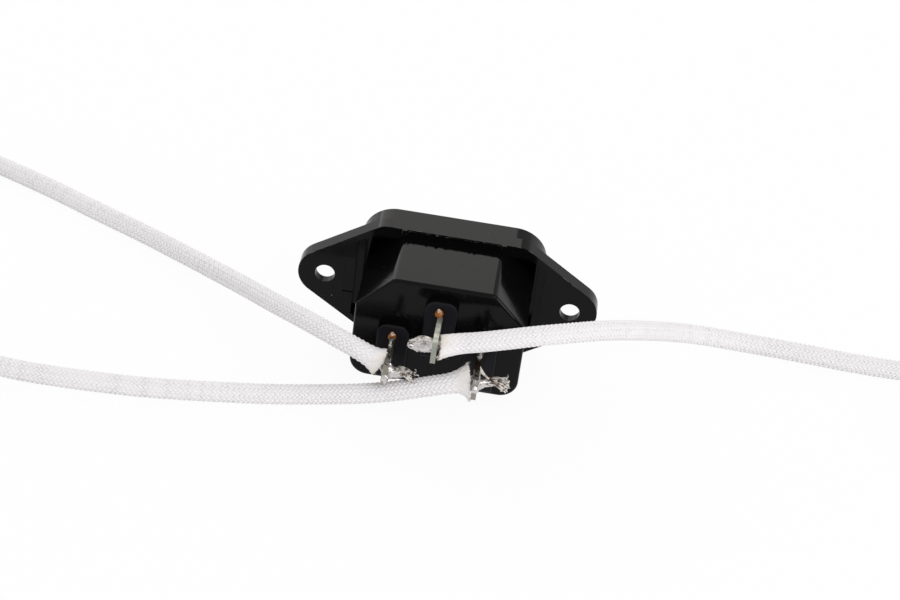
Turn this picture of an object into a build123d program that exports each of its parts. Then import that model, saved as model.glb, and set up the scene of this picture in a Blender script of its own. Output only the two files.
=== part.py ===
"""Panel-mounting appliance inlet with three heat-proof leads soldered to its tabs.

X runs across the two fixing ears, Y from the solder tabs to the socket mouth, and Z up.
The origin is on the surface the inlet stands on, under the middle of the inlet without
its leads. All sizes are in millimetres.
"""

import os
from math import cos, pi, radians, tan

from build123d import *

# Body: the box behind the panel, with its two upper corners cut off
body_width = 27.1
body_height = 19.4
body_reach = 12.2
body_cut_across = 5.55
body_cut_down = 5.8
body_lower_corner = 3.0
body_upper_corner = 1.2
body_edge = 0.5

# Socket recess in front, and the pins that stand in it
wall = 1.35
back_wall = 1.4
recess_edge = 0.4
pin_pitch = 14.0
pin_rise = 4.0
pin_width = 4.0
pin_thickness = 2.0
pin_tip = 0.5
pin_length = 11.0
earth_pin_extra = 0.7

# Solder side: raised pads with a flat tab standing out of each
pad_width = 5.2
pad_corner = 1.7
pad_proud = 1.5
pad_edge = 0.35
pad_over_tab = 1.8
pad_lower_margin = 1.5
earth_pad_below = 5.0
tab_length = 8.2
tab_width = 4.0
tab_thickness = 0.8
tab_corner = 0.4
tab_hole = 2.4
tab_hole_from_tip = 2.8
side_tab_drop = 1.8
earth_tab_rise = 4.0

# Fixing flange with an ear at each end, and the collar round the socket mouth
screw_pitch = 40.0
screw_hole = 3.2
screw_sink = 5.2
ear_end_radius = 4.4
ear_thickness = 2.5
rim = 1.3
flange_slope_inset = 3.5
flange_corner = 3.0
collar_wall = 0.9
collar_side_gap = 0.55
collar_corner = 5.5
collar_proud = 3.1
collar_edge = 0.25

# Hollows moulded in the back of the flange, and a shallow flat beside the left one
pocket_floor = 1.2
pocket_rim = 2.0
pocket_corner = 2.5
ledge_width = 1.15
ledge_depth = 1.5
ledge_margin = 1.1
web_width = 0.8
web_proud = 0.35
plate_width = 1.7
plate_low = -3.0
plate_high = 4.0
plate_depth = 0.15

# Leads, with the stripped conductor that is hooked through each tab
lead_diameter = 3.2
conductor_diameter = 1.4
strand_bend = 1.5
solder_radius = 1.6
rosin_radius = 0.75
bare_length = 4.0
bare_diameter = 1.3

# Put-away coil of each lead: a flat spiral of one and three quarter turns
coil_radius = 18.4
tie_band = 2.5
tie_thickness = 0.4

# Places that follow from the sizes above
flange_height = body_height + 2 * rim
collar_width = body_width + 2 * (collar_side_gap + collar_wall)
collar_depth = ear_thickness + collar_proud
recess_depth = collar_depth + body_reach - back_wall
inlet_length = collar_depth + body_reach + pad_proud + tab_length
collar_front = inlet_length / 2
ear_front = collar_front - collar_proud
ear_rear = ear_front - ear_thickness
body_rear = ear_rear - body_reach
pad_rear = body_rear - pad_proud
tab_tip = pad_rear - tab_length
recess_floor = collar_front - recess_depth
centre_height = flange_height / 2
tab_hole_y = tab_tip + tab_hole_from_tip
lead_radius = lead_diameter / 2
tab_x = {"left": -pin_pitch / 2, "right": pin_pitch / 2, "earth": 0.0}
tab_rise = {"left": -side_tab_drop, "right": -side_tab_drop, "earth": earth_tab_rise}
blade_rise = {"left": -pin_rise / 2, "right": -pin_rise / 2, "earth": pin_rise / 2}


def facing_back(y):
    """Plane across the inlet at y: its x is X, its y is Z above the screw line, its normal is -Y."""
    return Plane(origin=(0, y, centre_height), x_dir=(1, 0, 0), z_dir=(0, -1, 0))


def hole_centre(name):
    """Middle of a tab's wire hole."""
    return Vector(tab_x[name], tab_hole_y, centre_height + tab_rise[name])


# Outlines

def body_outline(inset):
    """The body's section, or the same shape with every side moved in by inset."""
    half_width = body_width / 2
    half_height = body_height / 2
    with BuildSketch() as outline:
        with BuildLine():
            Polyline(
                (-half_width, -half_height),
                (half_width, -half_height),
                (half_width, half_height - body_cut_down),
                (half_width - body_cut_across, half_height),
                (-half_width + body_cut_across, half_height),
                (-half_width, half_height - body_cut_down),
                close=True,
            )
        make_face()
        if inset:
            offset(amount=-inset, kind=Kind.INTERSECTION)
        rows = outline.vertices().group_by(Axis.Y)
        fillet(rows[0], body_lower_corner - inset)
        fillet(outline.vertices().group_by(Axis.Y)[-1], body_upper_corner - inset / 2)
    return outline.sketch


def flange_outline(inset):
    """Two round ears run straight into the flat top and bottom of the flange."""
    with BuildSketch() as outline:
        with Locations((-screw_pitch / 2, 0), (screw_pitch / 2, 0)):
            Circle(ear_end_radius)
        Rectangle(collar_width - 2 * flange_slope_inset, flange_height)
        make_hull()
        corners = outline.vertices().group_by(Axis.Y)
        fillet(corners[0] + corners[-1], flange_corner)
        if inset:
            offset(amount=-inset)
    return outline.sketch


def pocket_outline():
    """Hollow on each side between the body and the collar, open to the back."""
    half_width = collar_width / 2 - collar_wall
    top = centre_height - pocket_rim
    web_outside = body_width / 2 - body_cut_across + web_width / 2
    with BuildSketch() as outline:
        RectangleRounded(2 * half_width, 2 * top, pocket_corner)
        Rectangle(2 * web_outside, flange_height, mode=Mode.SUBTRACT)
        add(body_outline(0), mode=Mode.SUBTRACT)
    return outline.sketch


def ledge_outline():
    """Shallow step beside each hollow, inside the edge of the flange."""
    inner = collar_width / 2 - collar_wall - collar_side_gap / 2
    outer = collar_width / 2 - collar_wall + ledge_width
    with BuildSketch() as outline:
        Rectangle(2 * outer, flange_height)
        Rectangle(2 * inner, flange_height, mode=Mode.SUBTRACT)
        add(flange_outline(ledge_margin), mode=Mode.INTERSECT)
    return outline.sketch


def pad_outline(name):
    """Raised pad round one tab: square below, rounded above."""
    top = tab_rise[name] + tab_width / 2 + pad_over_tab
    bottom = pad_lower_margin - body_height / 2
    if name == "earth":
        bottom = tab_rise[name] - tab_width / 2 - earth_pad_below
    with BuildSketch() as outline:
        with Locations((tab_x[name], (top + bottom) / 2)):
            Rectangle(pad_width, top - bottom)
        fillet(outline.vertices().group_by(Axis.Y)[-1], pad_corner)
    return outline.sketch


# Pins: a flat blade in the recess, a shank in the wall and a solder tab behind

def make_pin(name):
    x = tab_x[name]
    length = pin_length
    if name == "earth":
        length += earth_pin_extra
    low = min(blade_rise[name], tab_rise[name]) - pin_width / 2
    high = max(blade_rise[name], tab_rise[name]) + pin_width / 2
    with BuildPart() as pin:
        with BuildSketch(facing_back(recess_floor + length)):
            with Locations((x, blade_rise[name])):
                Rectangle(pin_thickness, pin_width)
        extrude(amount=length)
        chamfer(pin.faces().sort_by(Axis.Y)[-1].edges(), pin_tip)
        with BuildSketch(facing_back(recess_floor)):
            with Locations((x, (low + high) / 2)):
                Rectangle(tab_thickness, high - low)
            with Locations((x, blade_rise[name])):
                Rectangle(pin_thickness, pin_width)
        extrude(amount=recess_floor - body_rear)
        with BuildSketch(facing_back(body_rear)):
            with Locations((x, tab_rise[name])):
                Rectangle(tab_thickness, tab_width)
        extrude(amount=body_rear - tab_tip)
        tip_corners = pin.edges().filter_by(Axis.X).group_by(Axis.Y)[0]
        chamfer(tip_corners, tab_corner)
        with BuildSketch(Plane(origin=hole_centre(name), x_dir=(0, 1, 0), z_dir=(1, 0, 0))):
            Circle(tab_hole / 2)
        extrude(amount=tab_thickness, both=True, mode=Mode.SUBTRACT)
    pin.part.label = "pin_" + name
    return pin.part


pins = {name: make_pin(name) for name in tab_x}

# Housing: one moulding, made round the pins

with BuildPart() as housing:
    with BuildSketch(facing_back(ear_front)):
        add(flange_outline(0))
    extrude(amount=ear_thickness)
    with BuildSketch(facing_back(collar_front)):
        RectangleRounded(collar_width, flange_height, collar_corner)
    extrude(amount=collar_depth)
    chamfer(housing.faces().sort_by(Axis.Y)[-1].edges(), collar_edge)
    with BuildSketch(facing_back(ear_front)):
        add(body_outline(0))
    extrude(amount=ear_thickness + body_reach)
    fillet(housing.faces().sort_by(Axis.Y)[0].edges(), body_edge)
    for name in tab_x:
        with BuildSketch(facing_back(body_rear)):
            add(pad_outline(name))
        extrude(amount=pad_proud)
    fillet(housing.faces().group_by(Axis.Y)[0].edges(), pad_edge)
    with BuildSketch(facing_back(ear_rear)):
        add(pocket_outline())
    extrude(amount=pocket_floor - collar_depth, mode=Mode.SUBTRACT)
    with BuildSketch(facing_back(ear_rear)):
        add(ledge_outline())
    extrude(amount=-ledge_depth, mode=Mode.SUBTRACT)
    with BuildSketch(facing_back(ear_rear)):
        ledge_outer = collar_width / 2 - collar_wall + ledge_width
        with Locations((-ledge_outer - plate_width / 2, (plate_low + plate_high) / 2)):
            Rectangle(plate_width, plate_high - plate_low)
    extrude(amount=-plate_depth, mode=Mode.SUBTRACT)
    with BuildSketch(facing_back(ear_rear)):
        web_x = body_width / 2 - body_cut_across
        with Locations((-web_x, centre_height - rim / 2), (web_x, centre_height - rim / 2)):
            Rectangle(web_width, rim)
    extrude(amount=web_proud)
    with BuildSketch(facing_back(collar_front)):
        add(body_outline(wall))
    extrude(amount=recess_depth, mode=Mode.SUBTRACT)
    mouth = housing.faces().filter_by(Axis.Y).sort_by(Axis.Y)[-1].inner_wires()[0]
    chamfer(mouth.edges(), recess_edge)
    ears = Plane(origin=(0, ear_front, centre_height), x_dir=(-1, 0, 0), z_dir=(0, 1, 0))
    with Locations(ears):
        with GridLocations(screw_pitch, 0, 2, 1):
            CounterSinkHole(screw_hole / 2, screw_sink / 2, ear_thickness)
    for name in tab_x:
        add(pins[name], mode=Mode.SUBTRACT)
housing.part.label = "housing"

# Cord routes, by hand: each starts at the cut end of the braid beside its tab
floor_axis = lead_radius
coil_axis = lead_radius + tie_thickness
routes = {
    "left": [
        (-8.86, -10.42, 9.71),
        (-12.1, -9.5, 10.6),
        (-16.2, -8.0, 11.3),
        (-21.4, -4.9, 11.2),
        (-26.8, -0.4, 9.9),
        (-32.3, 6.0, 7.3),
        (-38.6, 13.6, 3.9),
        (-46.0, 20.4, floor_axis),
        (-53.7, 24.4, floor_axis),
        (-61.5, 28.0, floor_axis),
        (-72.5, 33.5, floor_axis),
        (-86.5, 38.8, coil_axis),
        (-100.5, 39.6, coil_axis),
    ],
    "right": [
        (5.27, -11.12, 8.72),
        (2.3, -11.4, 7.9),
        (-1.4, -11.4, 6.4),
        (-5.2, -11.5, 5.0),
        (-9.8, -11.6, 3.6),
        (-16.1, -11.9, 2.4),
        (-23.2, -12.8, floor_axis),
        (-32.2, -14.5, floor_axis),
        (-43.0, -16.3, floor_axis),
        (-54.2, -17.1, floor_axis),
        (-66.3, -17.2, floor_axis),
        (-74.0, -14.9, floor_axis),
        (-81.0, -9.4, coil_axis),
        (-88.0, -5.0, coil_axis),
    ],
    "earth": [
        (1.77, -10.83, 15.31),
        (5.2, -10.6, 15.9),
        (9.7, -9.7, 16.7),
        (14.5, -8.1, 17.2),
        (19.6, -5.4, 16.8),
        (25.2, -0.8, 15.1),
        (31.9, 6.9, 10.7),
        (40.4, 16.4, 4.7),
        (49.3, 20.4, floor_axis),
        (59.4, 20.1, floor_axis),
        (68.2, 19.5, floor_axis),
        (77.6, 19.5, floor_axis),
        (87.4, 20.3, coil_axis),
        (97.2, 21.0, coil_axis),
    ],
}
strand_tips = {
    "left": (-3.0, -10.95, 8.7),
    "right": (11.8, -10.95, 9.2),
    "earth": (-4.3, -10.95, 14.5),
}
coil_side = {"left": 1, "right": 1, "earth": -1}


def corner_radii(points):
    """Each arc takes 0.45 of the shorter run beside it."""
    radii = []
    for before, corner, after in zip(points, points[1:], points[2:]):
        run_in = corner - before
        run_out = after - corner
        turn = radians(run_in.get_angle(run_out))
        radii.append(0.45 * min(run_in.length, run_out.length) / tan(turn / 2))
    return radii


def make_lead(name):
    points = [Vector(*p) for p in routes[name]]
    radii = corner_radii(points)
    with BuildPart() as lead:
        with BuildLine():
            path = FilletPolyline(*points, radius=radii)
        with BuildSketch(Plane(origin=path @ 0, z_dir=path % 0)):
            Circle(lead_radius)
        sweep()
    lead.part.label = "lead_" + name
    section = pi * lead_radius**2
    print(
        lead.part.label,
        "radii", [round(r, 1) for r in radii],
        "length", round(path.length, 1),
        "volume over section x length", round(lead.part.volume / (section * path.length), 4),
    )
    return lead.part


def coil_frame(name):
    """Plane at the end of a lead's tube: x along the lead, y towards the coil's middle."""
    before, entry = [Vector(*p) for p in routes[name][-2:]]
    along = Vector(entry.X - before.X, entry.Y - before.Y, 0).normalized()
    return Plane(origin=(entry.X, entry.Y, tie_thickness), x_dir=along, z_dir=(0, 0, 1))


def coil_outline(side):
    """Half turns about two centres half a diameter apart, so each turn lies beside the last."""
    far = coil_radius * 2
    second = coil_radius - lead_radius
    first_centre = coil_radius
    second_centre = far - second
    outer = coil_radius + lead_radius
    inner = coil_radius - 3 * lead_radius
    last = second - 3 * lead_radius
    lane = second - lead_radius
    slant = cos(radians(45))
    with BuildSketch() as outline:
        with BuildLine():
            ThreePointArc(
                (0, -lead_radius * side),
                (outer, first_centre * side),
                (0, (first_centre + outer) * side),
            )
            ThreePointArc(
                (0, (first_centre + outer) * side),
                (-second - lead_radius, second_centre * side),
                (0, lead_radius * side),
            )
            Line((0, lead_radius * side), (0, -lead_radius * side))
        make_face()
        with BuildLine():
            ThreePointArc(
                (0, (first_centre - inner) * side),
                (inner, first_centre * side),
                (0, (first_centre + inner) * side),
            )
            ThreePointArc(
                (0, (second_centre + last) * side),
                (-last * slant, (second_centre + last * slant) * side),
                (-last, second_centre * side),
            )
            Line((-last, second_centre * side), (-lane, second_centre * side))
            ThreePointArc(
                (-lane, second_centre * side),
                (-lane * slant, (second_centre - lane * slant) * side),
                (0, (second_centre - lane) * side),
            )
        make_face(mode=Mode.SUBTRACT)
    return outline.sketch


def make_coil(name):
    frame = coil_frame(name)
    with BuildPart() as coil:
        with BuildSketch(frame):
            add(coil_outline(coil_side[name]))
        extrude(amount=lead_diameter)
    coil.part.label = "coil_" + name
    return coil.part


def make_tie(name):
    """Band round both lanes, half a turn across from where the lead comes in."""
    frame = coil_frame(name)
    lanes = 2 * lead_diameter
    band_x = coil_radius + lead_radius - lanes / 2
    frame.origin -= Vector(0, 0, tie_thickness)
    with BuildPart() as tie:
        with BuildSketch(frame):
            with Locations((band_x, coil_radius * coil_side[name])):
                Rectangle(lanes + 2 * tie_thickness, tie_band)
        extrude(amount=lead_diameter + 2 * tie_thickness)
        add(coils[name], mode=Mode.SUBTRACT)
    tie.part.label = "tie_" + name
    return tie.part


def make_bare_end(name):
    """Stripped conductor at the free end of the coiled lead."""
    side = coil_side[name]
    frame = coil_frame(name)
    last_centre = coil_radius + lead_radius
    last_radius = coil_radius - 3 * lead_radius
    start = frame.from_local_coords(Vector(-last_radius, last_centre * side, lead_radius))
    along = frame.y_dir * -side
    with BuildPart() as bare_end:
        with BuildSketch(Plane(origin=start, z_dir=along)):
            Circle(bare_diameter / 2)
        extrude(amount=bare_length)
    bare_end.part.label = "bare_end_" + name
    return bare_end.part


# Joints on the solder side

def make_strands(name):
    """Conductor from the end of the braid through the tab's hole and out beyond it."""
    start = Vector(*routes[name][0])
    with BuildPart() as strands:
        with BuildLine():
            path = FilletPolyline(start, hole_centre(name), strand_tips[name], radius=strand_bend)
        with BuildSketch(Plane(origin=start, z_dir=path % 0)):
            Circle(conductor_diameter / 2)
        sweep()
    strands.part.label = "strands_" + name
    return strands.part


def make_solder(name):
    """Lump that fills the hole round the strands and stands on both faces of the tab."""
    with BuildPart() as solder:
        with Locations(hole_centre(name)):
            Sphere(solder_radius, rotation=(0, 90, 0))
        add(pins[name], mode=Mode.SUBTRACT)
        add(strands[name], mode=Mode.SUBTRACT)
    solder.part.label = "solder_" + name
    return solder.part


leads = {name: make_lead(name) for name in tab_x}
coils = {name: make_coil(name) for name in tab_x}
ties = {name: make_tie(name) for name in tab_x}
bare_ends = {name: make_bare_end(name) for name in tab_x}
strands = {name: make_strands(name) for name in tab_x}
solders = {name: make_solder(name) for name in tab_x}

# Flux residue: a bead on each pad, at the upper root of the tab
with BuildPart() as rosin_residue:
    for name in tab_x:
        root = centre_height + tab_rise[name] + tab_width / 2
        with Locations((tab_x[name], pad_rear, root)):
            Sphere(rosin_radius)
        add(pins[name], mode=Mode.SUBTRACT)
    add(housing.part, mode=Mode.SUBTRACT)
rosin_residue.part.label = "rosin_residue"

# One file for each piece
os.makedirs("parts", exist_ok=True)
pieces = [housing.part, rosin_residue.part]
for kind in (pins, strands, solders, leads, coils, ties, bare_ends):
    pieces += kind.values()
for piece in pieces:
    export_step(piece, f"parts/{piece.label}.step")
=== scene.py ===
"""Panel-mounting power inlet with three white braided leads, seen from its solder tabs."""
import math
import random

import bmesh
import bpy
from mathutils import Matrix, Vector, noise


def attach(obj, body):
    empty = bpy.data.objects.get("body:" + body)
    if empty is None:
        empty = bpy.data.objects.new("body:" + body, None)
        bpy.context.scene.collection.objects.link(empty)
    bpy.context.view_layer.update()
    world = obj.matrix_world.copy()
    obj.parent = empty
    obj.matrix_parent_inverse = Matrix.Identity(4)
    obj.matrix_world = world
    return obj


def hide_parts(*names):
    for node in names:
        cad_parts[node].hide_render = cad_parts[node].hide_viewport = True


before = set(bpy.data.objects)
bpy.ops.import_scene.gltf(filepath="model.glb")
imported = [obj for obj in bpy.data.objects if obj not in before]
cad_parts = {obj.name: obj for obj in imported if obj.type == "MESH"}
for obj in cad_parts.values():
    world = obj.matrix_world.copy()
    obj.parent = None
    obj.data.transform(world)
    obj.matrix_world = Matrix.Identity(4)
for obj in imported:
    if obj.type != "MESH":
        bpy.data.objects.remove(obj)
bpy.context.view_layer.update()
scene = bpy.context.scene
scene.view_settings.view_transform = "Standard"


# Camera: above and behind the inlet, turned a few degrees, with a long lens.
# Its place and turn were fitted to the corners of the flange, body and tabs.
camera_place = Vector((0.0107, -0.2987, 0.2356))
camera_right = Vector((0.98695, 0.11521, 0.11249))
camera_up = Vector((-0.15884, 0.58203, 0.7975))
camera_back = Vector((0.02641, -0.80496, 0.59273))
camera_data = bpy.data.cameras.new("camera")
camera_data.sensor_width = 36
camera_data.lens = 94.29
camera_data.clip_start = 0.01
camera = bpy.data.objects.new("camera", camera_data)
turn = Matrix((camera_right, camera_up, camera_back)).transposed().to_4x4()
camera.matrix_world = Matrix.Translation(camera_place) @ turn
scene.collection.objects.link(camera)
scene.camera = camera


# Housing: one moulding of black glass-filled plastic, semi-gloss from its polished mould. Flat
# faces have a fine grain; where corners have rubbed, the filling shows as pale grey specks. The
# pale grey along open convex edges is also a painted edge highlight.
mm = 0.001
# The real grain is a few hundredths of a millimetre: it's drawn coarser, so that it shows
mould_grain = 0.3846 * mm
mould_wave = 4.1667 * mm
rub_and_glint_patch = 1.1111 * mm
filler_speck = 0.5882 * mm
# Where the flange ends beside the pockets and at the top, and where the ears and pads face back
pocket_reach = 17.4 * mm
flange_top_edge = 20.8 * mm
ear_rear_face = 7.8 * mm
pad_face = -5.4 * mm


def colour(hex_code):
    """sRGB hex to the linear colour that a socket takes."""
    parts = [int(hex_code[place:place + 2], 16) / 255 for place in (0, 2, 4)]
    linear = [p / 12.92 if p <= 0.04045 else ((p + 0.055) / 1.055) ** 2.4 for p in parts]
    return (*linear, 1.0)


def node(owner, kind, settings=(), links=()):
    """Adds a shader node, sets its properties and sockets, and links other nodes' outputs to it."""
    tree = owner.node_tree
    added = tree.nodes.new(kind)
    for key, value in dict(settings).items():
        if isinstance(key, str) and hasattr(added, key):
            setattr(added, key, value)
        else:
            added.inputs[key].default_value = value
    for socket, source in dict(links).items():
        output = source if isinstance(source, bpy.types.NodeSocket) else source.outputs[0]
        tree.links.new(output, added.inputs[socket])
    return added


def blank_material(name):
    """An empty material, to be built up from nodes."""
    material = bpy.data.materials.new(name)
    material.use_nodes = True
    material.node_tree.nodes.clear()
    return material


black_plastic = blank_material("moulded_black_plastic")
object_place = node(black_plastic, "ShaderNodeTexCoord").outputs["Object"]
grain = node(
    black_plastic, "ShaderNodeTexNoise", {"Scale": 1 / mould_grain, "Detail": 3.0},
    {"Vector": object_place},
)
waves = node(
    black_plastic, "ShaderNodeTexNoise", {"Scale": 1 / mould_wave, "Detail": 2.0},
    {"Vector": object_place},
)
grain_bump = node(
    black_plastic, "ShaderNodeBump", {"Strength": 0.22, "Distance": 0.03 * mm}, {"Height": grain}
)
bump = node(
    black_plastic, "ShaderNodeBump", {"Strength": 0.25, "Distance": 0.06 * mm},
    {"Height": waves, "Normal": grain_bump},
)
# Rubbed corners, partly wear and partly a painted edge highlight: the true face turns away from
# the softened one only near an edge
softened = node(black_plastic, "ShaderNodeBevel", {"samples": 6, "Radius": 0.22 * mm})
true_face = node(black_plastic, "ShaderNodeNewGeometry").outputs["Normal"]
match = node(
    black_plastic, "ShaderNodeVectorMath", {"operation": "DOT_PRODUCT"},
    {0: softened, 1: true_face},
)
near_edge = node(
    black_plastic, "ShaderNodeMapRange",
    {"From Min": 0.985, "From Max": 0.86}, {0: match.outputs["Value"]},
)
rub_and_glint_noise = node(
    black_plastic, "ShaderNodeTexNoise",
    {"Scale": 1 / rub_and_glint_patch, "Detail": 5.0, "Roughness": 0.65},
    {"Vector": object_place},
)
wear_and_glint_patches = node(black_plastic, "ShaderNodeMapRange", {"From Min": 0.49, "From Max": 0.69}, {0: rub_and_glint_noise})
# Painted edge highlight: the pale edges show only where ambient occlusion finds the edge open
open_air = node(black_plastic, "ShaderNodeAmbientOcclusion", {"samples": 6, "Distance": 1.0 * mm})
stands_out = node(
    black_plastic, "ShaderNodeMapRange", {"From Min": 0.9, "From Max": 1.0},
    {0: open_air.outputs["AO"]},
)
wear_and_highlight_spots = node(black_plastic, "ShaderNodeMath", {"operation": "MULTIPLY"}, {0: wear_and_glint_patches, 1: stands_out})
# Nothing reaches into the pockets beside the body: only the flange's outline and the body rub
# and take the painted edge highlight
axes = node(black_plastic, "ShaderNodeSeparateXYZ", links={0: object_place})
sideways = node(black_plastic, "ShaderNodeMath", {"operation": "ABSOLUTE"}, {0: axes.outputs[0]})
out_on_ear = node(
    black_plastic, "ShaderNodeMath", {"operation": "GREATER_THAN", 1: pocket_reach}, {0: sideways}
)
along_top = node(
    black_plastic, "ShaderNodeMath", {"operation": "GREATER_THAN", 1: flange_top_edge},
    {0: axes.outputs[2]},
)
on_body = node(
    black_plastic, "ShaderNodeMath", {"operation": "LESS_THAN", 1: ear_rear_face},
    {0: axes.outputs[1]},
)
on_flange = node(
    black_plastic, "ShaderNodeMath", {"operation": "MAXIMUM"}, {0: out_on_ear, 1: along_top}
)
reachable = node(
    black_plastic, "ShaderNodeMath", {"operation": "MAXIMUM"}, {0: on_flange, 1: on_body}
)
wear_and_highlight_spots = node(
    black_plastic, "ShaderNodeMath", {"operation": "MULTIPLY"}, {0: wear_and_highlight_spots, 1: reachable}
)
rubbed_and_edge_highlight = node(
    black_plastic, "ShaderNodeMath", {"operation": "MULTIPLY"}, {0: near_edge, 1: wear_and_highlight_spots}
)
specks = node(
    black_plastic, "ShaderNodeTexNoise", {"Scale": 1 / filler_speck, "Detail": 1.0},
    {"Vector": object_place},
)
speck = node(black_plastic, "ShaderNodeMapRange", {"From Min": 0.79, "From Max": 0.83}, {0: specks})
pale_and_painted_highlight = node(black_plastic, "ShaderNodeMath", {"operation": "MAXIMUM"}, {0: rubbed_and_edge_highlight, 1: speck})
share = node(black_plastic, "ShaderNodeMath", {"operation": "MULTIPLY", 1: 0.5}, {0: pale_and_painted_highlight})
# Pale grey mixed into the black: real wear and filler specks, and a painted edge highlight
tone = node(
    black_plastic, "ShaderNodeMix",
    {"data_type": "RGBA", 6: colour("09090a"), 7: colour("a3a3a0")}, {0: share},
)
# The raised pads round the tabs have a duller and slightly bluer face than the rest
on_pad = node(
    black_plastic, "ShaderNodeMath", {"operation": "LESS_THAN", 1: pad_face}, {0: axes.outputs[1]}
)
pad_tone = node(
    black_plastic, "ShaderNodeMix", {"data_type": "RGBA", 7: colour("16161a")},
    {0: on_pad, 6: tone.outputs[2]},
)
dull = node(
    black_plastic, "ShaderNodeMapRange", {"To Min": 0.1, "To Max": 0.45}, {0: on_pad}
)
shader = node(
    black_plastic, "ShaderNodeBsdfPrincipled", {"IOR": 1.5, "Specular IOR Level": 0.12},
    {"Base Color": pad_tone.outputs[2], "Roughness": dull, "Normal": bump},
)
node(black_plastic, "ShaderNodeOutputMaterial", links={"Surface": shader})
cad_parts["housing"].material_slots[0].material = black_plastic


# Flash: a ragged fin of the same plastic, squeezed out where the mould's halves met along the rear
# edge of the flange's top. Sizes in millimetres.
flash_ends = (-7.4, 7.6)
flash_place = (0, 8.15, 21.93)
flash_root = 0.15
flash_usual = 0.2
flash_least = 0.02
flash_droop = 0.1
flash_thickness = 0.06


def finished(bm, name, material):
    """Closes a piece's ends and seams, and shows it with its place in its mesh."""
    bmesh.ops.remove_doubles(bm, verts=bm.verts, dist=1e-6)
    bmesh.ops.holes_fill(bm, edges=[edge for edge in bm.edges if edge.is_boundary], sides=0)
    bmesh.ops.recalc_face_normals(bm, faces=bm.faces)
    for face in bm.faces:
        face.smooth = True
    mesh = bpy.data.meshes.new(name)
    bm.to_mesh(mesh)
    bm.free()
    mesh.materials.append(material)
    piece = bpy.data.objects.new(name, mesh)
    scene.collection.objects.link(piece)
    return piece


def flash_reach(along):
    """How far the fin stands out at a place along it: long waves with short ones on them."""
    long_wave = 0.75 * noise.noise(Vector((along * 1.3, 3.0, 0)))
    short_wave = 0.3 * noise.noise(Vector((along * 4.1, 7.0, 0)))
    return max(flash_least, flash_usual + long_wave + short_wave)


bm = bmesh.new()
bmesh.ops.create_grid(bm, x_segments=90, y_segments=2, size=0.5)
for vertex in bm.verts:
    along = flash_ends[0] + (vertex.co.x + 0.5) * (flash_ends[1] - flash_ends[0])
    outwards = vertex.co.y + 0.5
    inwards = flash_root - outwards * (flash_root + flash_reach(along))
    vertex.co = (Vector(flash_place) + Vector((along, inwards, -flash_droop * outwards))) * mm
flash = finished(bm, "mould_flash", black_plastic)
fin = flash.modifiers.new("fin_thickness", "SOLIDIFY")
fin.thickness = flash_thickness * mm
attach(flash, "root")


# Pins: tinned brass strip, one piece each from the socket's pin to the solder tab. Satin grey tin;
# the two side tabs are lumpy with solder and burnt flux, the earth tab has stayed almost clean.
grime_patch = 1.0 * mm
joint_place = -9.8 * mm
pin_looks = {
    "left": {"tin": "8d8a80", "burnt": "33291b", "share": 0.58, "lumps": 0.8},
    "right": {"tin": "95918b", "burnt": "4b3625", "share": 0.44, "lumps": 0.8},
    "earth": {"tin": "9a9b92", "burnt": "4a3d30", "share": 0.74, "lumps": 0.03},
}
for name, look in pin_looks.items():
    tinned_brass = blank_material("tinned_brass_strip_" + name)
    object_place = node(tinned_brass, "ShaderNodeTexCoord").outputs["Object"]
    patches = node(
        tinned_brass, "ShaderNodeTexNoise", {"Scale": 1 / grime_patch, "Detail": 5.0},
        {"Vector": object_place},
    )
    axes = node(tinned_brass, "ShaderNodeSeparateXYZ", links={0: object_place})
    from_joint = node(
        tinned_brass, "ShaderNodeMath", {"operation": "ADD", 1: -joint_place}, {0: axes.outputs[1]}
    )
    away = node(tinned_brass, "ShaderNodeMath", {"operation": "ABSOLUTE"}, {0: from_joint})
    near = node(
        tinned_brass, "ShaderNodeMapRange",
        {"From Min": 1.0 * mm, "From Max": 3.8 * mm, "To Min": 0.0, "To Max": -0.3}, {0: away},
    )
    dirt = node(tinned_brass, "ShaderNodeMath", {"operation": "ADD"}, {0: patches, 1: near})
    mask = node(
        tinned_brass, "ShaderNodeMapRange",
        {"From Min": look["share"] - 0.08, "From Max": look["share"] + 0.04}, {0: dirt},
    )
    tone = node(
        tinned_brass, "ShaderNodeMix",
        {"data_type": "RGBA", 6: colour(look["tin"]), 7: colour(look["burnt"])}, {0: mask},
    )
    dull = node(
        tinned_brass, "ShaderNodeMapRange",
        {"From Min": 0.3, "From Max": 0.7, "To Min": 0.2, "To Max": 0.45}, {0: patches},
    )
    bump = node(
        tinned_brass, "ShaderNodeBump", {"Strength": look["lumps"], "Distance": 0.25 * mm},
        {"Height": patches},
    )
    shader = node(
        tinned_brass, "ShaderNodeBsdfPrincipled", {"Metallic": 0.95},
        {"Base Color": tone.outputs[2], "Roughness": dull, "Normal": bump},
    )
    node(tinned_brass, "ShaderNodeOutputMaterial", links={"Surface": shader})
    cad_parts["pin_" + name].material_slots[0].material = tinned_brass


# Leads: stranded conductor in a close white glass-fibre braid, 3.2 mm thick. Each leaves its tab,
# comes down to the surface and runs out of view, where the rest is wound in a flat coil.
lead_diameter = 0.0032
lead_radius = lead_diameter / 2
tie_thickness = 0.0004
floor_axis = lead_radius
coil_axis = lead_radius + tie_thickness
coil_radius = 0.0184
coil_quarters = 7
points_in_quarter = 5
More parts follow.
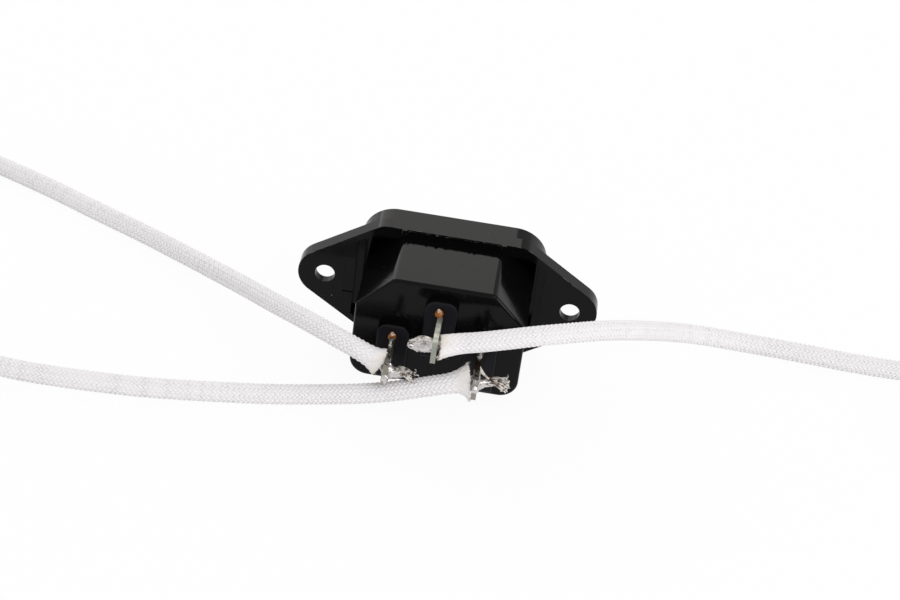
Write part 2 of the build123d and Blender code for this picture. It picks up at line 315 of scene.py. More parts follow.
# Points on the middle of each lead in metres, from its cut end by the tab to where its coil starts
routes = {
    "left": [
        (-0.00886, -0.01042, 0.00971),
        (-0.0121, -0.0095, 0.0106),
        (-0.0162, -0.0080, 0.0113),
        (-0.0214, -0.0049, 0.0112),
        (-0.0268, -0.0004, 0.0099),
        (-0.0323, 0.0060, 0.0073),
        (-0.0386, 0.0136, 0.0039),
        (-0.0460, 0.0204, floor_axis),
        (-0.0537, 0.0244, floor_axis),
        (-0.0615, 0.0280, floor_axis),
        (-0.0725, 0.0335, floor_axis),
        (-0.0865, 0.0388, coil_axis),
        (-0.1005, 0.0396, coil_axis),
    ],
    "right": [
        (0.00527, -0.01112, 0.00872),
        (0.0023, -0.0114, 0.0079),
        (-0.0014, -0.0114, 0.0064),
        (-0.0052, -0.0115, 0.0050),
        (-0.0098, -0.0116, 0.0036),
        (-0.0161, -0.0119, 0.0024),
        (-0.0232, -0.0128, floor_axis),
        (-0.0322, -0.0145, floor_axis),
        (-0.0430, -0.0163, floor_axis),
        (-0.0542, -0.0171, floor_axis),
        (-0.0663, -0.0172, floor_axis),
        (-0.0740, -0.0149, floor_axis),
        (-0.0810, -0.0094, coil_axis),
        (-0.0880, -0.0050, coil_axis),
    ],
    "earth": [
        (0.00177, -0.01083, 0.01531),
        (0.0052, -0.0106, 0.0159),
        (0.0097, -0.0097, 0.0167),
        (0.0145, -0.0081, 0.0172),
        (0.0196, -0.0054, 0.0168),
        (0.0252, -0.0008, 0.0151),
        (0.0319, 0.0069, 0.0107),
        (0.0404, 0.0164, 0.0047),
        (0.0493, 0.0204, floor_axis),
        (0.0594, 0.0201, floor_axis),
        (0.0682, 0.0195, floor_axis),
        (0.0776, 0.0195, floor_axis),
        (0.0874, 0.0203, coil_axis),
        (0.0972, 0.0210, coil_axis),
    ],
}
coil_side = {"left": 1, "right": 1, "earth": -1}


def coil_turns(name):
    """Half turns about two centres, each half turn half a lead's width smaller than the last."""
    before, entry = (Vector(point) for point in routes[name][-2:])
    along = Vector((entry.x - before.x, entry.y - before.y, 0)).normalized()
    inwards = Vector((-along.y, along.x, 0)) * coil_side[name]
    step = math.pi / 2 / points_in_quarter
    points = []
    for count in range(1, coil_quarters * points_in_quarter + 1):
        half_turn = (count - 1) // (2 * points_in_quarter)
        radius = coil_radius - half_turn * lead_radius
        middle = coil_radius if half_turn % 2 == 0 else coil_radius + lead_radius
        angle = (count - 0.5) * step
        reach = radius / math.cos(step / 2)
        points.append(
            entry + inwards * (middle - reach * math.cos(angle)) + along * reach * math.sin(angle)
        )
    last = coil_radius - 3 * lead_radius
    points.append(entry + inwards * (coil_radius + lead_radius) - along * last)
    return points


def spline_line(controls, steps):
    """The smooth line past some points, as points read from a NURBS curve with no bevel."""
    curve = bpy.data.curves.new("line", "CURVE")
    curve.dimensions = "3D"
    spline = curve.splines.new("NURBS")
    spline.points.add(len(controls) - 1)
    for point, place in zip(spline.points, controls):
        point.co = (*place, 1)
    spline.order_u = 3
    spline.use_endpoint_u = True
    curve.resolution_u = steps
    holder = bpy.data.objects.new("line", curve)
    mesh = bpy.data.meshes.new_from_object(holder)
    line = [vertex.co.copy() for vertex in mesh.vertices]
    bpy.data.objects.remove(holder)
    bpy.data.meshes.remove(mesh)
    return line


def turns_along(line):
    """A place and turn for a ring at each point, turned as little as possible from the last."""
    side = (line[1] - line[0]).orthogonal()
    turns = []
    for index, place in enumerate(line):
        ahead = line[min(index + 1, len(line) - 1)] - line[max(index - 1, 0)]
        ahead.normalize()
        side = (side - ahead * side.dot(ahead)).normalized()
        columns = Matrix((side, ahead.cross(side), ahead)).transposed()
        turns.append(Matrix.Translation(place) @ columns.to_4x4())
    return turns


def rolled(bm, line, radii, sides):
    """Adds a grid rolled round a line. Gives each vertex with its ring's number and its angle."""
    grown = bmesh.ops.create_grid(bm, x_segments=sides, y_segments=len(line) - 1, size=0.5)
    turns = turns_along(line)
    places = []
    for vertex in grown["verts"]:
        ring = round((vertex.co.y + 0.5) * (len(line) - 1))
        angle = 2 * math.pi * (vertex.co.x + 0.5)
        across = Vector((math.cos(angle), math.sin(angle), 0)) * radii[ring]
        vertex.co = turns[ring] @ across
        places.append((vertex, ring, angle))
    return places


# Braid: two sets of glass yarns, each going over two and under two of the other, which shows as
# rows of small chevrons. Glass gives a clean silky white; the grey between the yarns is painted
# shade.
yarns_round = 16
filaments_shown = 5
chevron_pitch_mm = 0.76
lead_round_mm = 2 * math.pi * lead_radius / mm
weave_depth = 0.27 * mm
# Where the lead's own radius lies, from 0 in the hollows between yarns to 1 on their crowns
usual_height = 0.85
# How far in from the cut end the braid is pressed flat, with how much left, and scorched
pressed_mm = 2.6
weave_left = 0.2
scorched_mm = 1.5
uneven_patch = 1.5385 * mm
lead_sides = 64
lead_steps = 60
coil_skip = 8

braid = blank_material("glass_fibre_braid")
uv = node(braid, "ShaderNodeUVMap", {"uv_map": "braid"})
parts = node(braid, "ShaderNodeSeparateXYZ", links={0: uv})
across = node(
    braid, "ShaderNodeMath", {"operation": "MULTIPLY", 1: yarns_round / lead_round_mm},
    {0: parts.outputs[0]},
)
along = node(
    braid, "ShaderNodeMath", {"operation": "MULTIPLY", 1: 1 / chevron_pitch_mm},
    {0: parts.outputs[1]},
)
left_lay = node(braid, "ShaderNodeMath", {"operation": "ADD"}, {0: across, 1: along})
right_lay = node(braid, "ShaderNodeMath", {"operation": "SUBTRACT"}, {0: across, 1: along})
left_part = node(braid, "ShaderNodeMath", {"operation": "FRACT"}, {0: left_lay})
right_part = node(braid, "ShaderNodeMath", {"operation": "FRACT"}, {0: right_lay})
left_count = node(braid, "ShaderNodeMath", {"operation": "FLOOR"}, {0: left_lay})
right_count = node(braid, "ShaderNodeMath", {"operation": "FLOOR"}, {0: right_lay})
count = node(braid, "ShaderNodeMath", {"operation": "ADD"}, {0: left_count, 1: right_count})
place = node(braid, "ShaderNodeMath", {"operation": "FLOORED_MODULO", 1: 4.0}, {0: count})
left_on_top = node(braid, "ShaderNodeMath", {"operation": "LESS_THAN", 1: 1.5}, {0: place})
crowns = []
for part in (left_part, right_part):
    turn_share = node(braid, "ShaderNodeMath", {"operation": "MULTIPLY", 1: math.pi}, {0: part})
    crowns.append(node(braid, "ShaderNodeMath", {"operation": "SINE"}, {0: turn_share}))
crown = node(
    braid, "ShaderNodeMix", {"data_type": "FLOAT"}, {0: left_on_top, 2: crowns[1], 3: crowns[0]}
)
# Each yarn dives after two crossings: the distance along it since it came up gives an arch
arches = []
for other, first in ((right_part, 0.0), (left_part, 2.0)):
    since = node(braid, "ShaderNodeMath", {"operation": "SUBTRACT", 1: first}, {0: place})
    travel = node(braid, "ShaderNodeMath", {"operation": "ADD"}, {0: since, 1: other})
    turn_share = node(
        braid, "ShaderNodeMath", {"operation": "MULTIPLY", 1: math.pi / 2}, {0: travel}
    )
    arch = node(braid, "ShaderNodeMath", {"operation": "SINE"}, {0: turn_share})
    arches.append(node(braid, "ShaderNodeMath", {"operation": "MAXIMUM", 1: 0.0}, {0: arch}))
arch = node(
    braid, "ShaderNodeMix", {"data_type": "FLOAT"}, {0: left_on_top, 2: arches[1], 3: arches[0]}
)
bulge = node(braid, "ShaderNodeMath", {"operation": "MULTIPLY"}, {0: crown, 1: arch})
woven_grain = node(braid, "ShaderNodeMath", {"operation": "POWER", 1: 0.5}, {0: bulge})
# At the cut end the yarns have come apart and are pressed flat, so the weave fades out
still_woven = node(
    braid, "ShaderNodeMapRange", {"From Min": 0.6, "From Max": pressed_mm},
    {0: parts.outputs[1]},
)
grain = node(
    braid, "ShaderNodeMix", {"data_type": "FLOAT", 2: 0.75}, {0: still_woven, 3: woven_grain}
)
# Fine lines along each yarn are its glass filaments, drawn five to a yarn so that they show
filament_turn = node(
    braid, "ShaderNodeMix", {"data_type": "FLOAT"}, {0: left_on_top, 2: right_part, 3: left_part}
)
filament_angle = node(
    braid, "ShaderNodeMath", {"operation": "MULTIPLY", 1: 2 * math.pi * filaments_shown},
    {0: filament_turn},
)
filament = node(braid, "ShaderNodeMath", {"operation": "SINE"}, {0: filament_angle})
height = node(
    braid, "ShaderNodeMath", {"operation": "MULTIPLY_ADD", 1: 0.06}, {0: filament, 2: grain}
)
object_place = node(braid, "ShaderNodeTexCoord").outputs["Object"]
uneven = node(
    braid, "ShaderNodeTexNoise", {"Scale": 1 / uneven_patch, "Detail": 4.0},
    {"Vector": object_place},
)
# Painted shade: the hollows between the yarns are coloured greyer than their crowns
hollow_shade_factor = node(braid, "ShaderNodeMapRange", {"From Min": 0.05, "From Max": 0.6}, {0: grain})
yarn_and_painted_shade = node(
    braid, "ShaderNodeMix", {"data_type": "RGBA", 6: colour("ebe8eb"), 7: colour("f4f2f2")},
    {0: hollow_shade_factor},
)
# Where four yarns meet, some crossings leave a gap, painted with a little lavender-grey shade
both = node(braid, "ShaderNodeMath", {"operation": "ADD"}, {0: crowns[0], 1: crowns[1]})
opening = node(
    braid, "ShaderNodeMapRange",
    {"From Min": 0.25, "From Max": 0.75, "To Min": 1.0, "To Max": 0.0}, {0: both},
)
gap_here = node(braid, "ShaderNodeMapRange", {"From Min": 0.5, "From Max": 0.6}, {0: uneven})
woven_gap = node(braid, "ShaderNodeMath", {"operation": "MULTIPLY"}, {0: opening, 1: gap_here})
painted_gap_shade = node(braid, "ShaderNodeMath", {"operation": "MULTIPLY"}, {0: woven_gap, 1: still_woven})
yarn_and_painted_shade = node(
    braid, "ShaderNodeMix", {"data_type": "RGBA", 7: colour("c0bbc5")},
    {0: painted_gap_shade, 6: yarn_and_painted_shade.outputs[2]},
)
# The cut end was scorched a little when the lead was soldered
near_end = node(
    braid, "ShaderNodeMapRange",
    {"From Min": 0.1, "From Max": scorched_mm, "To Min": 1.0, "To Max": 0.0},
    {0: parts.outputs[1]},
)
patchy = node(braid, "ShaderNodeMapRange", {"From Min": 0.35, "From Max": 0.7}, {0: uneven})
scorch = node(braid, "ShaderNodeMath", {"operation": "MULTIPLY"}, {0: near_end, 1: patchy})
tinted = node(
    braid, "ShaderNodeMix", {"data_type": "RGBA", 7: colour("e6dbcb")},
    {0: scorch, 6: yarn_and_painted_shade.outputs[2]},
)
bump = node(
    braid, "ShaderNodeBump", {"Strength": 0.16, "Distance": 0.1 * mm}, {"Height": height}
)
shader = node(
    braid, "ShaderNodeBsdfPrincipled",
    {"Roughness": 0.6, "IOR": 1.5, "Sheen Weight": 0.12},
    {"Base Color": tinted.outputs[2], "Normal": bump},
)
node(braid, "ShaderNodeOutputMaterial", links={"Surface": shader})

# How each braid has opened where it was cut, flattened against its tab: how far it spreads to its
# upper and lower sides and all round, over what length, how late each side turns outwards, and
# how far its upper, lower and rear sides reach on towards the tab, in millimetres
upper_side = Vector((-0.16, 0.58, 0.80))
rear_side = Vector((0.03, -0.80, 0.60))
tooth = 0.16
# The inner face: its share of the braid's width, and how far back it starts and ends
mouth_steps = ((0.82, 0.0), (0.5, 0.5))
spread = {
    "left": {
        "up": 0.7, "down": 0.75, "round": 0.1, "over": 3.8, "up_late": 5.0, "down_late": 4.0,
        "upper": 0.6, "lower": 0.5, "rear": 0.9,
    },
    "right": {
        "up": 1.3, "down": 1.5, "round": 0.1, "over": 3.4, "up_late": 2.4, "down_late": 5.5,
        "upper": 0.8, "lower": 0.4, "rear": 0.6,
    },
    "earth": {
        "up": -0.3, "down": 0.8, "round": 0.1, "over": 3.8, "up_late": 2.4, "down_late": 2.4,
        "upper": 1.0, "lower": 1.4, "rear": -0.3,
    },
}


def weave_height(across_mm, along_mm):
    """The braid's surface, 0 between its yarns and 1 on their crowns, as its material has it."""
    lays = (
        across_mm * yarns_round / lead_round_mm + along_mm / chevron_pitch_mm,
        across_mm * yarns_round / lead_round_mm - along_mm / chevron_pitch_mm,
    )
    place = (math.floor(lays[0]) + math.floor(lays[1])) % 4
    upper, lower, first = (0, 1, 0) if place < 2 else (1, 0, 2)
    travel = (place - first + lays[lower] % 1) * math.pi / 2
    return math.sin(math.pi * (lays[upper] % 1)) ** 0.6 * max(math.sin(travel), 0) ** 0.5


leads = {}
rims = {}
lead_lines = {}
for name in routes:
    route = [Vector(point) for point in routes[name]]
    line = spline_line(route + coil_turns(name), lead_steps)
    split = (len(route) - 2) * lead_steps
    line = line[:split] + line[split:-1:coil_skip] + line[-1:]
    lead_lines[name] = line
    lengths = [0.0]
    for before, after in zip(line, line[1:]):
        lengths.append(lengths[-1] + (after - before).length)
    bm = bmesh.new()
    uv_layer = bm.loops.layers.uv.new("braid")
    ring_layer = bm.verts.layers.int.new("ring")
    angle_layer = bm.verts.layers.float.new("angle")
    opened = spread[name]
    rims[name] = []
    jag = random.Random(name)
    teeth = [jag.uniform(-tooth, tooth) for _ in range(lead_sides)]
    for vertex, ring, angle in rolled(bm, line, [lead_radius] * len(line), lead_sides):
        vertex[ring_layer] = ring
        vertex[angle_layer] = angle
        along_mm = lengths[ring] / mm
        outwards = (vertex.co - line[ring]).normalized()
        ahead = (line[0] - line[1]).normalized()
        round_mm = angle / (2 * math.pi) * lead_round_mm
        lift = weave_depth * (weave_height(round_mm, along_mm) - usual_height)
        lift *= min(1.0, weave_left + along_mm / pressed_mm)
        share = max(0.0, 1 - along_mm / opened["over"])
        towards = outwards.dot(upper_side)
        widen = opened["round"] * share ** 2
        widen += opened["up"] * max(0.0, towards) ** 1.3 * share ** opened["up_late"]
        widen += opened["down"] * max(0.0, -towards) ** 1.3 * share ** opened["down_late"]
        reach = 0.5 * (opened["upper"] + opened["lower"])
        reach += 0.5 * (opened["upper"] - opened["lower"]) * towards
        reach += opened["rear"] * max(0.0, outwards.dot(rear_side))
        reach += teeth[round(angle / (2 * math.pi) * lead_sides) % lead_sides]
        vertex.co += outwards * (lift + widen * mm) + ahead * reach * mm * share ** 2
        if ring == 0:
            rims[name].append((vertex.co.copy(), outwards, ahead))
    for face in bm.faces:
        for loop in face.loops:
            round_mm = loop.vert[angle_layer] / (2 * math.pi) * lead_round_mm
            loop[uv_layer].uv = (round_mm, lengths[loop.vert[ring_layer]] / mm)
    bmesh.ops.remove_doubles(bm, verts=bm.verts, dist=1e-6)
    # The cut end is open: the braid's inner face goes back round the conductor
    mouth = [
        edge for edge in bm.edges
        if edge.is_boundary and all(vertex[ring_layer] == 0 for vertex in edge.verts)
    ]
    for inset, back in mouth_steps:
        grown = bmesh.ops.extrude_edge_only(bm, edges=mouth)["geom"]
        fresh = [item for item in grown if isinstance(item, bmesh.types.BMVert)]
        for vertex in fresh:
            vertex.co = line[0] + (vertex.co - line[0]) * inset - ahead * back * mm
        members = set(fresh)
        mouth = [
            item for item in grown
            if isinstance(item, bmesh.types.BMEdge) and members.issuperset(item.verts)
        ]
    leads[name] = finished(bm, "lead_" + name + "_braided", braid)
    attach(leads[name], "root")
    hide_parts("lead_" + name, "coil_" + name)


# Frayed ends: loose glass filaments that stand out from each braid's cut edge, and on the right
# tab a few that were pulled through with the wires. Clean and slightly cream.
fibres = 26
fibre_sides = 5
pulled_fibres = 20
pulled_top = Vector((7.35, -11.0, 12.1))
pulled_spread = Vector((0.15, 0.0, -1.2))
pulled_foot = Vector((8.9, -11.0, 9.95))
pulled_sag = Vector((-0.12, 0.0, -0.12))
brown_patch = 1.1111 * mm
frayed_glass = blank_material("frayed_glass_filaments")
object_place = node(frayed_glass, "ShaderNodeTexCoord").outputs["Object"]
patches = node(
    frayed_glass, "ShaderNodeTexNoise", {"Scale": 1 / brown_patch, "Detail": 3.0},
    {"Vector": object_place},
)
mask = node(frayed_glass, "ShaderNodeMapRange", {"From Min": 0.5, "From Max": 0.75}, {0: patches})
tone = node(
    frayed_glass, "ShaderNodeMix",
    {"data_type": "RGBA", 6: colour("ebe7e0"), 7: colour("b99c74")}, {0: mask},
)
shader = node(
    frayed_glass, "ShaderNodeBsdfPrincipled", {"Roughness": 0.55, "IOR": 1.5},
    {"Base Color": tone.outputs[2]},
)
node(frayed_glass, "ShaderNodeOutputMaterial", links={"Surface": shader})

for name in routes:
    chance = random.Random("frayed " + name)
    bm = bmesh.new()
    roots = [chance.choice(rims[name]) for _ in range(fibres)]
    for place, outwards, ahead in roots:
        stray = Vector([chance.uniform(-1, 1) for _ in range(3)])
        heading = (ahead * 0.9 + outwards * 0.2 + stray * 0.3).normalized()
        bend = Vector([chance.uniform(-1, 1) for _ in range(3)])
        length = chance.uniform(0.1, 0.4) * mm
        points = [
            place - ahead * 0.4 * mm - outwards * 0.08 * mm,
            place + heading * length * 0.45,
            place + heading * length + bend * length * 0.25,
        ]
        thick = chance.uniform(0.03, 0.06) * mm
        line = spline_line(points, 3)
        taper = [thick * (1 - 0.7 * number / (len(line) - 1)) for number in range(len(line))]
        rolled(bm, line, taper, fibre_sides)
    if name == "right":
        for _ in range(pulled_fibres):
            start = pulled_top + pulled_spread * chance.random()
            stray = Vector([chance.uniform(-0.1, 0.1) for _ in range(3)])
            middle = start.lerp(pulled_foot, 0.5) + pulled_sag + stray
            points = [start * mm, middle * mm, (pulled_foot + stray) * mm]
            line = spline_line(points, 5)
            rolled(bm, line, [0.04 * mm] * len(line), fibre_sides)
    frayed_ends = finished(bm, "frayed_ends_" + name, frayed_glass)
    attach(frayed_ends, "root")


# Wires: each lead's fine tinned copper strands go through the hole in its tab and fan out on the
# far side. Bright where the tin is clean, greyish brown where heat has burnt it off. Each fan is a
# number of wires, and the places and half widths of its bundle in millimetres.
wire_radius = 0.12 * mm
wire_sides = 6
wire_lay = 0.35
in_bundle = 0.12
at_end = 0.4
burn_patch = 0.6667 * mm
wire_fans = {
    "left": [
        (30, [
            ((-7.0, -10.95, 9.2), 0.6), ((-6.1, -10.95, 8.25), 0.85), ((-5.3, -10.9, 8.4), 0.85),
            ((-4.4, -10.95, 8.6), 0.8), ((-3.5, -11.0, 8.1), 0.95), ((-2.7, -11.0, 7.8), 1.15),
        ]),
    ],
    "right": [
        (30, [
            ((7.0, -10.95, 9.2), 0.6), ((7.9, -10.95, 8.9), 0.9), ((8.7, -10.9, 9.25), 0.75),
            ((9.8, -10.95, 9.5), 0.72), ((10.8, -11.0, 9.4), 0.85), ((11.7, -11.05, 9.0), 1.15),
        ]),
    ],
    "earth": [
        (12, [
            ((0.0, -10.95, 15.2), 0.4), ((-0.9, -10.9, 15.5), 0.35), ((-2.0, -10.8, 15.6), 0.35),
            ((-3.1, -10.9, 15.2), 0.35), ((-4.0, -11.0, 14.5), 0.3),
        ]),
        (20, [
            ((0.0, -10.95, 14.8), 0.5), ((-0.9, -10.95, 14.3), 0.7), ((-2.0, -11.0, 13.9), 0.6),
            ((-3.1, -11.0, 13.9), 0.55), ((-4.2, -11.0, 14.2), 0.4),
        ]),
    ],
}
tinned_copper = blank_material("tinned_copper_wire")
object_place = node(tinned_copper, "ShaderNodeTexCoord").outputs["Object"]
burns = node(
    tinned_copper, "ShaderNodeTexNoise", {"Scale": 1 / burn_patch, "Detail": 4.0},
    {"Vector": object_place},
)
mask = node(tinned_copper, "ShaderNodeMapRange", {"From Min": 0.5, "From Max": 0.62}, {0: burns})
tone = node(
    tinned_copper, "ShaderNodeMix",
    {"data_type": "RGBA", 6: colour("e4e0da"), 7: colour("75635b")}, {0: mask},
)
shader = node(
    tinned_copper, "ShaderNodeBsdfPrincipled", {"Metallic": 1.0, "Roughness": 0.3},
    {"Base Color": tone.outputs[2]},
)
node(tinned_copper, "ShaderNodeOutputMaterial", links={"Surface": shader})

# The cut ends of some wires are curled back in one or two short turns
curled_share = {"left": 0.5, "right": 0.9, "earth": 0.0}
for name in routes:
    chance = random.Random("wires " + name)
    bm = bmesh.new()
    line = lead_lines[name]
    # The bundle starts about a millimetre inside the braid
    inside = line[round(len(line) / 100) + 6]
    for wires, fan in wire_fans[name]:
        path = [(inside, 0.45), (line[0], 0.55)]
        path += [(Vector(point) * mm, width) for point, width in fan]
        for _ in range(wires):
            start_angle = chance.uniform(0, 2 * math.pi)
            away = math.sqrt(chance.uniform(0.02, 1))
            points = []
            for number, (point, width) in enumerate(path):
                angle = start_angle + number * wire_lay
                wander = in_bundle if number < len(path) - 2 else at_end
                offset = Vector((
                    chance.uniform(-wander, wander),
                    math.cos(angle) * away * width,
                    math.sin(angle) * away * width + chance.uniform(-wander, wander) * width,
                ))
                points.append(point + offset * mm)
            points[-1] = points[-2] + (points[-1] - points[-2]) * chance.uniform(0.55, 1.15)
            if chance.random() < curled_share[name]:
                heading = (points[-1] - points[-2]).normalized()
                for _ in range(2):
                    turn = chance.uniform(0.7, 1.5) * chance.choice((-1, 1))
                    heading = Matrix.Rotation(turn, 3, "Y") @ heading
                    points.append(points[-1] + heading * chance.uniform(0.25, 0.5) * mm)
            wire = spline_line(points, 4)
            rolled(bm, wire, [wire_radius] * len(wire), wire_sides)
    wires_piece = finished(bm, "wires_" + name, tinned_copper)
    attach(wires_piece, "root")
    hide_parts("strands_" + name)


# Solder: run into the wires on both sides of each tab by hand, so it's lumpy, drawn out along the
# wires, and satin where it set clean. Each run is points with a thickness, in millimetres.
solder_sides = 20
flux_patch = 0.9091 * mm
solder_runs = {
    "left": [
        [(-8.5, -10.6, 9.6, 0.6), (-7.6, -10.9, 9.3, 0.95), (-7.0, -10.95, 8.9, 1.15),
         (-6.4, -10.95, 8.2, 1.1), (-5.7, -10.95, 8.05, 1.0), (-5.0, -10.9, 8.25, 0.95),
         (-4.3, -10.9, 8.45, 0.65)],
        [(-6.95, -11.9, 7.5, 0.5), (-6.9, -11.3, 8.3, 0.75), (-7.0, -10.8, 9.6, 0.7),
         (-7.05, -10.3, 10.7, 0.5)],
        [(-7.25, -11.8, 9.8, 0.45), (-7.15, -12.8, 9.6, 0.6), (-6.95, -13.5, 9.0, 0.62),
         (-7.05, -13.55, 8.2, 0.56), (-7.0, -13.45, 7.6, 0.4)],
        [(-7.0, -8.6, 11.25, 0.3), (-7.0, -7.4, 11.35, 0.42), (-7.0, -6.7, 11.4, 0.4)],
    ],
    "right": [
        [(5.6, -11.1, 8.8, 0.6), (6.4, -11.0, 9.0, 0.9), (7.0, -10.95, 9.0, 1.1),
         (7.7, -10.95, 8.8, 1.05), (8.4, -10.95, 9.1, 0.75), (9.2, -10.95, 9.3, 0.45)],
        [(7.05, -11.9, 7.5, 0.5), (7.1, -11.3, 8.3, 0.75), (7.0, -10.8, 9.6, 0.7),
         (6.95, -10.3, 10.8, 0.5)],
        [(7.15, -12.0, 9.9, 0.45), (7.05, -13.0, 9.8, 0.55), (6.95, -13.75, 9.7, 0.56),
         (6.95, -13.7, 9.1, 0.5)],
        [(7.0, -8.2, 11.2, 0.3), (7.0, -7.3, 11.3, 0.4), (7.0, -6.7, 11.35, 0.4)],
    ],
    "earth": [
        [(1.4, -10.85, 15.2, 0.6), (0.6, -10.9, 15.1, 0.85), (0.0, -10.95, 14.9, 1.0),
         (-0.8, -10.95, 14.4, 0.95), (-1.8, -10.95, 13.9, 0.8), (-2.8, -11.0, 13.85, 0.7),
         (-3.8, -11.0, 14.05, 0.5), (-4.3, -11.0, 14.15, 0.35)],
        [(0.05, -11.8, 13.6, 0.45), (0.0, -11.2, 14.4, 0.6), (0.0, -10.6, 15.8, 0.55)],
        [(0.7, -10.9, 16.3, 0.28), (1.25, -11.1, 15.5, 0.34), (1.4, -11.3, 14.6, 0.36),
         (1.1, -11.3, 13.5, 0.34), (0.5, -11.2, 12.6, 0.28)],
        [(-0.9, -10.9, 15.2, 0.35), (-1.8, -10.9, 15.0, 0.42), (-2.7, -10.95, 14.8, 0.4),
         (-3.5, -11.0, 14.4, 0.3)],
    ],
}
solder_metal = blank_material("hand_run_solder")
object_place = node(solder_metal, "ShaderNodeTexCoord").outputs["Object"]
flux = node(
    solder_metal, "ShaderNodeTexNoise", {"Scale": 1 / flux_patch, "Detail": 4.0},
    {"Vector": object_place},
)
mask = node(solder_metal, "ShaderNodeMapRange", {"From Min": 0.55, "From Max": 0.7}, {0: flux})
tone = node(
    solder_metal, "ShaderNodeMix",
    {"data_type": "RGBA", 6: colour("cfcccb"), 7: colour("6f584a")}, {0: mask},
)
shader = node(
    solder_metal, "ShaderNodeBsdfPrincipled", {"Metallic": 1.0, "Roughness": 0.3},
    {"Base Color": tone.outputs[2]},
)
node(solder_metal, "ShaderNodeOutputMaterial", links={"Surface": shader})
lumps = bpy.data.textures.new("solder_lumps", "CLOUDS")
lumps.noise_scale = 0.6 * mm

for name in routes:
    bm = bmesh.new()
    for run in solder_runs[name]:
        line = spline_line([Vector(point[:3]) * mm for point in run], 6)
        thick = []
        for number in range(len(line)):
            part = number / (len(line) - 1) * (len(run) - 1)
            first = min(int(part), len(run) - 2)
            before, after = run[first][3], run[first + 1][3]
            thick.append((before + (after - before) * (part - first)) * mm)
        rolled(bm, line, thick, solder_sides)
    joint = finished(bm, "solder_" + name + "_run", solder_metal)
    blend = joint.modifiers.new("one_skin", "REMESH")
    blend.mode = "VOXEL"
    blend.voxel_size = 0.09 * mm
    blend.use_smooth_shade = True
    settle = joint.modifiers.new("surface_tension", "SMOOTH")
    settle.factor = 0.5
    settle.iterations = 5
    uneven = joint.modifiers.new("lumps", "DISPLACE")
    uneven.texture = lumps
    uneven.strength = 0.35 * mm
    uneven.mid_level = 0.5
    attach(joint, "root")
    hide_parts("solder_" + name)


# Flux residue at the roots of the tabs: clear amber rosin, set hard and glossy in small beads
# round the top of each tab. Their upward faces are painted pale as a highlight, mottled by noise.
bead_places = {
    "left": (-7.1, -6.05, 11.3), "right": (6.95, -6.0, 11.25), "earth": (-0.25, -6.05, 17.15),
}
bead_size = (0.62, 0.7, 0.72)
cloud_patch = 0.7692 * mm
amber_rosin = blank_material("amber_rosin")
object_place = node(amber_rosin, "ShaderNodeTexCoord").outputs["Object"]
cloudy = node(
    amber_rosin, "ShaderNodeTexNoise", {"Scale": 1 / cloud_patch, "Detail": 3.0},
    {"Vector": object_place},
)
faced = node(amber_rosin, "ShaderNodeNewGeometry").outputs["Normal"]
slope = node(amber_rosin, "ShaderNodeSeparateXYZ", links={0: faced})
# Painted highlight: the more a face points up, the paler it is coloured
pale_and_painted_highlight = node(
    amber_rosin, "ShaderNodeMath", {"operation": "MULTIPLY_ADD", 1: 0.6},
    {0: slope.outputs[2], 2: cloudy},
)
mask = node(amber_rosin, "ShaderNodeMapRange", {"From Min": 0.98, "From Max": 1.2}, {0: pale_and_painted_highlight})
tone = node(
    amber_rosin, "ShaderNodeMix",
    {"data_type": "RGBA", 6: colour("8f5206"), 7: colour("ddd2c8")}, {0: mask},
)
shader = node(
    amber_rosin, "ShaderNodeBsdfPrincipled", {"Roughness": 0.1, "IOR": 1.53},
    {"Base Color": tone.outputs[2]},
)
node(amber_rosin, "ShaderNodeOutputMaterial", links={"Surface": shader})

bm = bmesh.new()
for name, place in bead_places.items():
    grown = bmesh.ops.create_icosphere(bm, subdivisions=4, radius=1)
    for vertex in grown["verts"]:
        lump = 1 + 0.22 * noise.noise(vertex.co * 1.7 + Vector((len(name), 0, 0)))
        swollen = Vector([part * size for part, size in zip(vertex.co, bead_size)]) * lump
        vertex.co = (Vector(place) + swollen) * mm
rosin_beads = finished(bm, "rosin_beads", amber_rosin)
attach(rosin_beads, "root")
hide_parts("rosin_residue")


# Ties and bare ends, out of the photograph's view: a plain white nylon band round each coil, and
# the tinned wires that stick out of each lead's far end, twisted together.
# Drawn coarser than the band's real grain, so that it shows
band_grain = 0.3333 * mm
nylon_band = blank_material("white_nylon_band")
object_place = node(nylon_band, "ShaderNodeTexCoord").outputs["Object"]
grain = node(
    nylon_band, "ShaderNodeTexNoise", {"Scale": 1 / band_grain, "Detail": 2.0},
    {"Vector": object_place},
)
bump = node(
    nylon_band, "ShaderNodeBump", {"Strength": 0.2, "Distance": 0.02 * mm}, {"Height": grain}
)
shader = node(
    nylon_band, "ShaderNodeBsdfPrincipled",
    {"Base Color": colour("e4e4e0"), "Roughness": 0.42, "IOR": 1.53}, {"Normal": bump},
)
node(nylon_band, "ShaderNodeOutputMaterial", links={"Surface": shader})
for name in routes:
    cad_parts["tie_" + name].material_slots[0].material = nylon_band
    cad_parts["bare_end_" + name].material_slots[0].material = tinned_copper


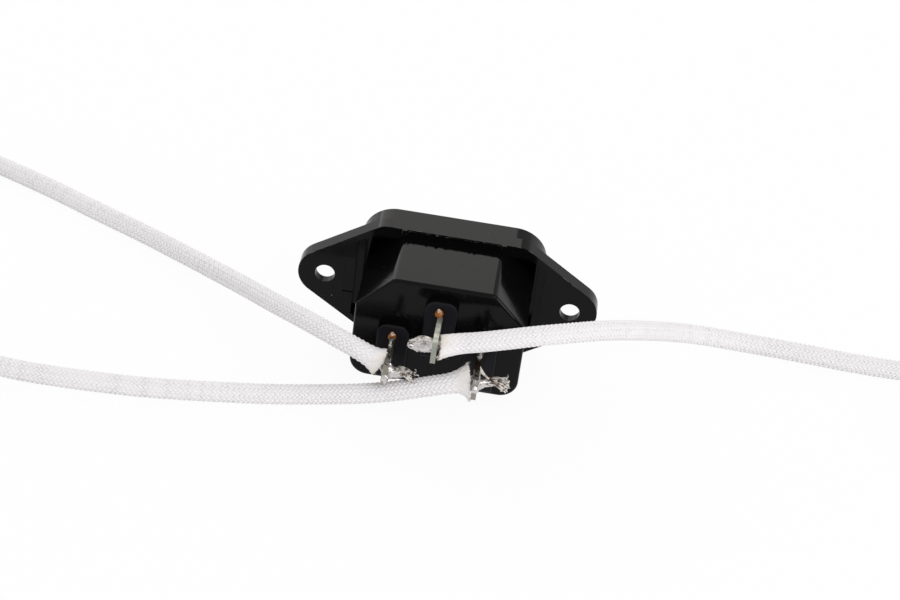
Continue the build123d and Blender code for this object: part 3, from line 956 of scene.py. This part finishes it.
# Surface the inlet stands on: a plain white sheet of paper that runs out of sight. It glows to the
# camera and in reflections, so that it shows white, and still takes the inlet's shadow.
white_sheet = blank_material("white_sheet")
light_path = node(white_sheet, "ShaderNodeLightPath")
mirrored = node(
    white_sheet, "ShaderNodeMath", {"operation": "MAXIMUM"},
    {0: light_path.outputs["Is Glossy Ray"], 1: light_path.outputs["Is Transmission Ray"]},
)
seen = node(
    white_sheet, "ShaderNodeMath", {"operation": "MAXIMUM"},
    {0: light_path.outputs["Is Camera Ray"], 1: mirrored},
)
share = node(white_sheet, "ShaderNodeMath", {"operation": "MULTIPLY", 1: 0.94}, {0: seen})
paper = node(
    white_sheet, "ShaderNodeBsdfPrincipled", {"Base Color": colour("f4f4f4"), "Roughness": 0.9}
)
glow = node(white_sheet, "ShaderNodeEmission", {"Color": (1, 1, 1, 1), "Strength": 1.0})
mixed = node(white_sheet, "ShaderNodeMixShader", links={0: share, 1: paper, 2: glow})
node(white_sheet, "ShaderNodeOutputMaterial", links={"Surface": mixed})
bm = bmesh.new()
bmesh.ops.create_grid(bm, x_segments=1, y_segments=1, size=3.0)
mesh = bpy.data.meshes.new("floor")
bm.to_mesh(mesh)
bm.free()
mesh.materials.append(white_sheet)
floor = bpy.data.objects.new("floor", mesh)
scene.collection.objects.link(floor)


# Light: a white room, broad soft lamps behind and in front, and small low ones that catch the
# slopes of the ears and the rounded corners of the housing.
studio = bpy.data.worlds.new("studio")
scene.world = studio
studio.use_nodes = True
studio.node_tree.nodes.clear()
light_path = node(studio, "ShaderNodeLightPath")
room = node(studio, "ShaderNodeBackground", {"Color": (1.0, 1.0, 1.0, 1), "Strength": 0.72})
white = node(studio, "ShaderNodeBackground", {"Color": (1, 1, 1, 1), "Strength": 1.0})
mixed = node(
    studio, "ShaderNodeMixShader",
    links={0: light_path.outputs["Is Camera Ray"], 1: room, 2: white},
)
node(studio, "ShaderNodeOutputWorld", links={"Surface": mixed})


def soft_lamp(name, place, size, power, tint):
    """A round lamp aimed at the inlet."""
    data = bpy.data.lights.new(name, "AREA")
    data.shape = "DISK"
    data.size = size
    data.energy = power
    data.color = colour(tint)[:3]
    lamp = bpy.data.objects.new(name, data)
    turned = (-Vector(place)).to_track_quat("-Z", "Y").to_matrix().to_4x4()
    lamp.matrix_world = Matrix.Translation(place) @ turned
    scene.collection.objects.link(lamp)


soft_lamp("behind", (-0.3, 0.82, 0.5), 0.8, 2.4, "fffdf8")
soft_lamp("front_fill", (0.5, -0.8, 0.9), 0.7, 3.5, "fbf8ff")
soft_lamp("low_left", (-0.58, 0.8, 0.13), 0.4, 0.24, "ffffff")
soft_lamp("low_right", (0.53, 0.8, 0.15), 0.4, 0.13, "ffffff")
soft_lamp("right_side", (0.84, -0.41, 0.27), 0.2, 1.3, "ffffff")
